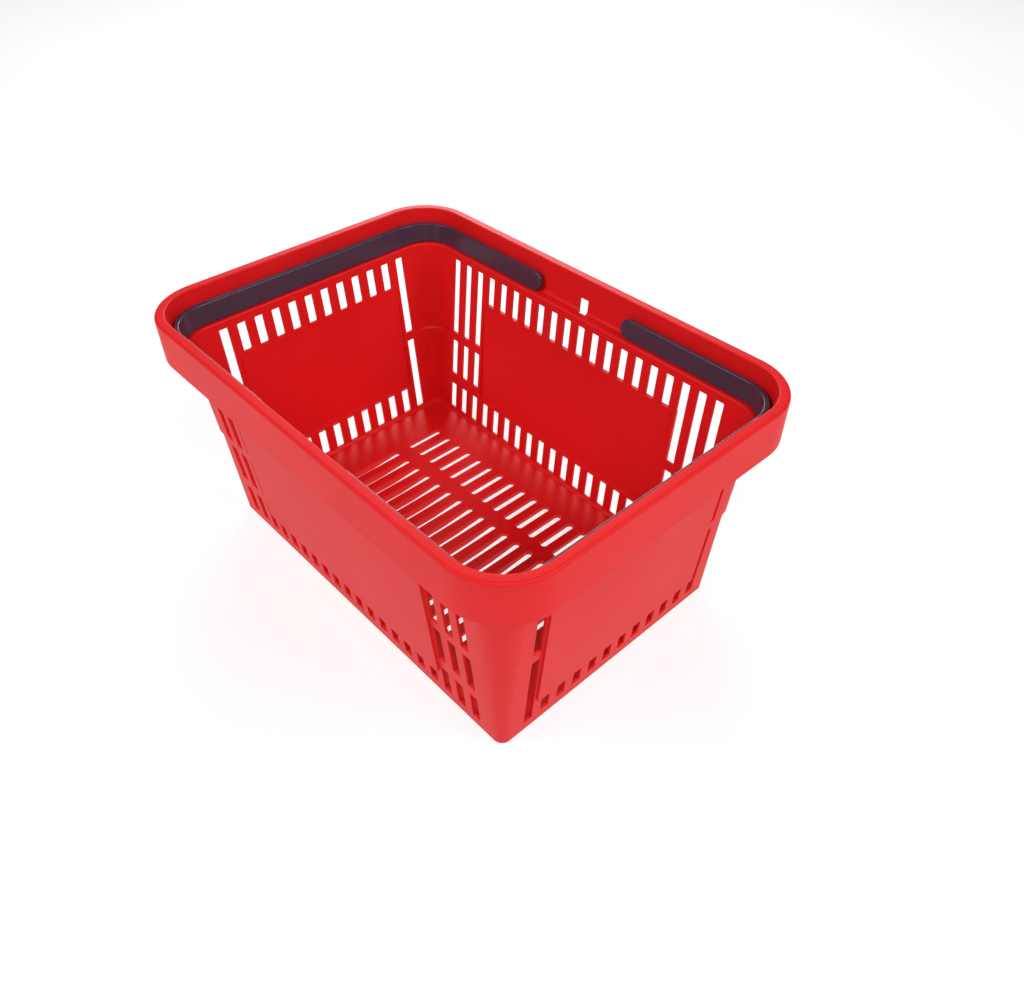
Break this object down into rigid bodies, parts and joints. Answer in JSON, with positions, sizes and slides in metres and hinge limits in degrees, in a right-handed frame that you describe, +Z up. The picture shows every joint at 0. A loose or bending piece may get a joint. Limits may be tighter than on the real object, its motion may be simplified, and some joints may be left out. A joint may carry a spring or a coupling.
{
  "type": "shopping basket",
  "caption": "Slotted moulded-plastic shopping basket with a deep rim skirt and two bail handles that fold down into a recess inside the rim.",
  "frame": {"origin": "on the standing plane, under the middle of the basket", "axes": "+X along the long sides, +Y along the short sides towards the long side with the notched skirt, +Z up"},
  "size_m": [0.45, 0.315, 0.218],
  "materials": {
    "red_plastic": "satin injection-moulded polypropylene",
    "dark_plastic": "glossy injection-moulded plastic, dark aubergine"
  },
  "bodies": {
    "basket": {"basket_body": "red_plastic"},
    "left_bail": {"left_handle": "dark_plastic"},
    "right_bail": {"right_handle": "dark_plastic"}
  },
  "joints": [
    {"name": "left_handle_hinge", "type": "hinge", "parent": "basket", "child": "left_bail", "pos_m": [-0.057, 0, 0.19675], "axis": [0, 1, 0], "range_deg": [0, 108]},
    {"name": "right_handle_hinge", "type": "hinge", "parent": "basket", "child": "right_bail", "pos_m": [0.057, 0, 0.19675], "axis": [0, -1, 0], "range_deg": [0, 108]}
  ]
}
